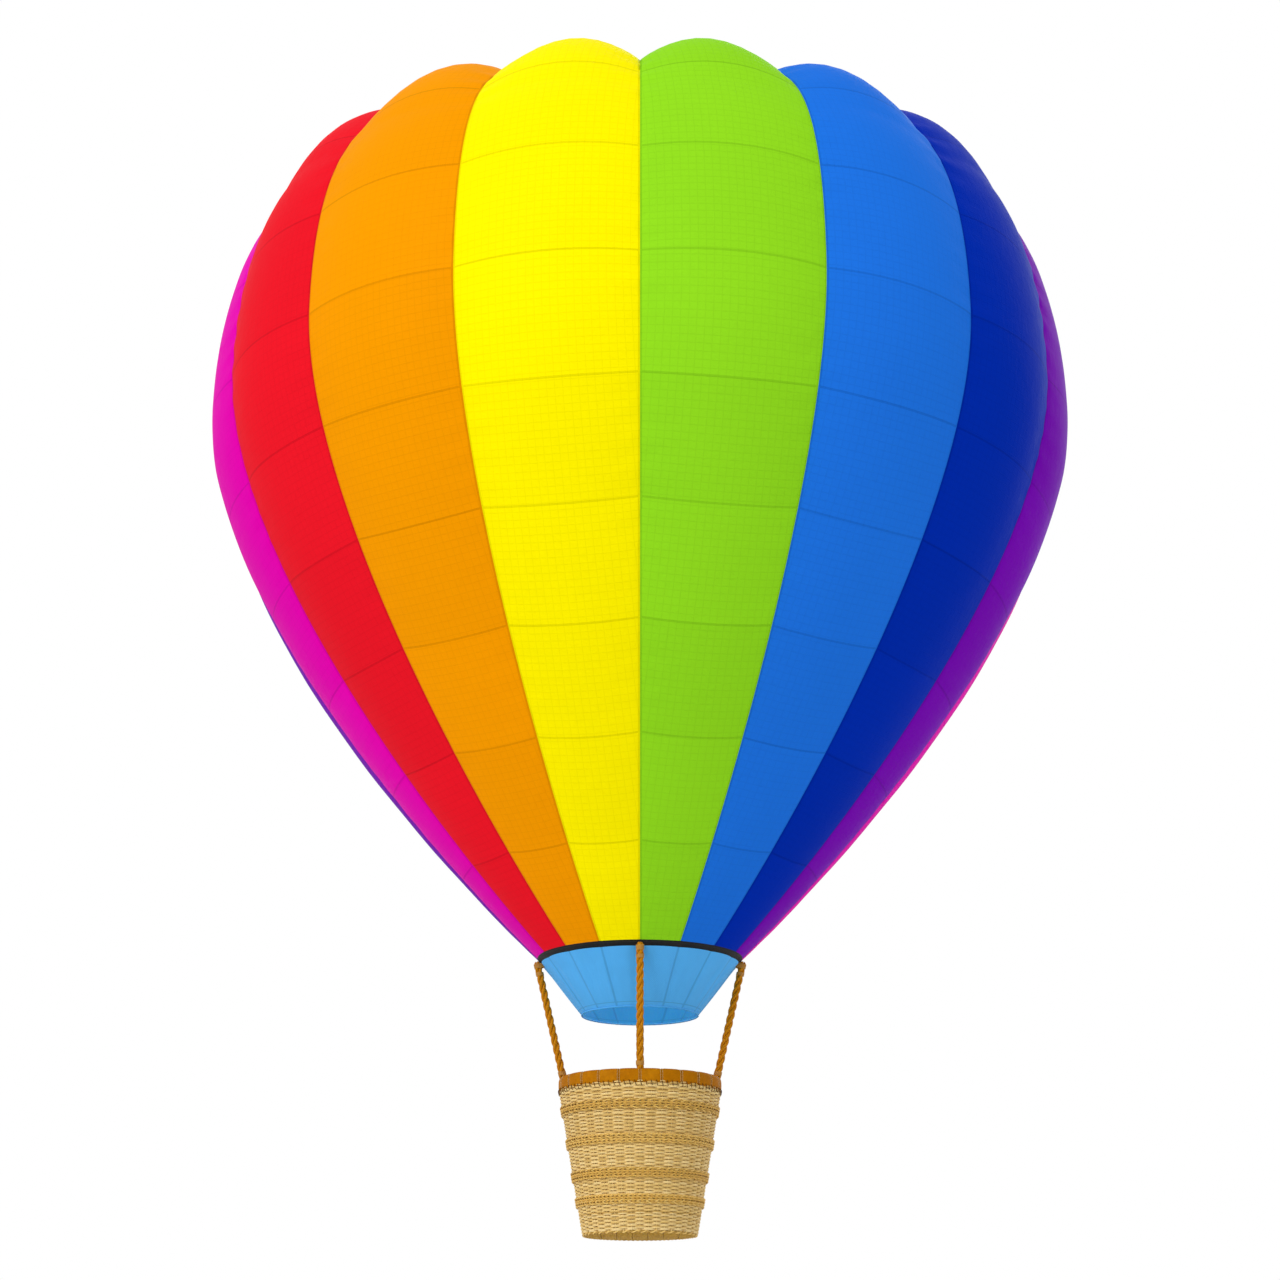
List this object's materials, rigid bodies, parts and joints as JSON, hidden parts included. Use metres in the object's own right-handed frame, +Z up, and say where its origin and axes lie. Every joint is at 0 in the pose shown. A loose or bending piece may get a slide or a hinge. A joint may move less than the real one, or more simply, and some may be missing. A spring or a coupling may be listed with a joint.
{
  "type": "hot air balloon",
  "caption": "Hot air balloon: lobed rainbow envelope with a parachute vent and skirt, ropes, a round wicker basket, fuel cylinders and a gimballed burner.",
  "frame": {"origin": "on the balloon's upright axis, at the envelope's widest level, where the air holds it up", "axes": "+Z up along the balloon's axis, -Y to the front with the yellow and green gores, +X to the right"},
  "size_m": [10.1038, 10.1038, 12.9915],
  "materials": {
    "gore_green": "coated nylon, satin",
    "gore_blue": "coated nylon, satin",
    "gore_navy": "coated nylon, satin",
    "gore_purple": "coated nylon, satin",
    "gore_magenta": "coated nylon, satin",
    "gore_red": "coated nylon, satin",
    "gore_orange": "coated nylon, satin",
    "gore_yellow": "coated nylon, satin",
    "skirt_cloth": "heat-proof woven cloth, matte",
    "webbing": "woven polyester webbing",
    "rope": "laid manila rope",
    "rim_leather": "stitched hide over padding",
    "wicker": "woven willow",
    "wicker_braid": "woven willow, darker rods",
    "floor_board": "oiled softwood boards",
    "steel": "brushed stainless steel",
    "aluminium": "spun aluminium",
    "strap_leather": "harness leather"
  },
  "bodies": {
    "balloon": {"gore_01_lower": "gore_green", "gore_01_upper": "gore_green", "gore_02_lower": "gore_blue", "gore_02_upper": "gore_blue", "gore_03_lower": "gore_navy", "gore_03_upper": "gore_navy", "gore_04_lower": "gore_purple", "gore_04_upper": "gore_purple", "gore_05_lower": "gore_magenta", "gore_05_upper": "gore_magenta", "gore_06_lower": "gore_red", "gore_06_upper": "gore_red", "gore_07_lower": "gore_orange", "gore_07_upper": "gore_orange", "gore_08_lower": "gore_yellow", "gore_08_upper": "gore_yellow", "gore_09_lower": "gore_green", "gore_09_upper": "gore_green", "gore_10_lower": "gore_blue", "gore_10_upper": "gore_blue", "gore_11_lower": "gore_navy", "gore_11_upper": "gore_navy", "gore_12_lower": "gore_purple", "gore_12_upper": "gore_purple", "gore_13_lower": "gore_magenta", "gore_13_upper": "gore_magenta", "gore_14_lower": "gore_red", "gore_14_upper": "gore_red", "gore_15_lower": "gore_orange", "gore_15_upper": "gore_orange", "gore_16_lower": "gore_yellow", "gore_16_upper": "gore_yellow", "crown_ring_and_tapes": "webbing", "mouth_band": "webbing", "skirt": "skirt_cloth", "skirt_hoop": "skirt_cloth", "rope_front": "rope", "rope_right": "rope", "rope_back": "rope", "rope_left": "rope", "basket_rim": "rim_leather", "basket_wall": "wicker", "basket_floor": "floor_board", "braid_1": "wicker_braid", "braid_2": "wicker_braid", "braid_3": "wicker_braid", "braid_4": "wicker_braid", "burner_frame": "steel", "fuel_cylinder_left": "aluminium", "fuel_cylinder_right": "aluminium", "fuel_strap_left": "strap_leather", "fuel_strap_right": "strap_leather"},
    "vent": {"parachute_vent": "gore_yellow"},
    "gimbal": {"gimbal_ring": "steel"},
    "burner": {"burner_base": "steel", "burner_can_left": "steel", "burner_can_right": "steel"}
  },
  "joints": [
    {"name": "vent_slide", "type": "slide", "parent": "balloon", "child": "vent", "axis": [0, 0, 1], "range_m": [-0.5, 0], "stiffness_N_per_m": 120, "springref_m": 0.6},
    {"name": "gimbal_tilt", "type": "hinge", "parent": "balloon", "child": "gimbal", "pos_m": [0, 0, -7.8], "axis": [1, 0, 0], "range_deg": [-15, 15]},
    {"name": "burner_tilt", "type": "hinge", "parent": "gimbal", "child": "burner", "pos_m": [0, 0, -7.8], "axis": [0, 1, 0], "range_deg": [-15, 15]}
  ]
}
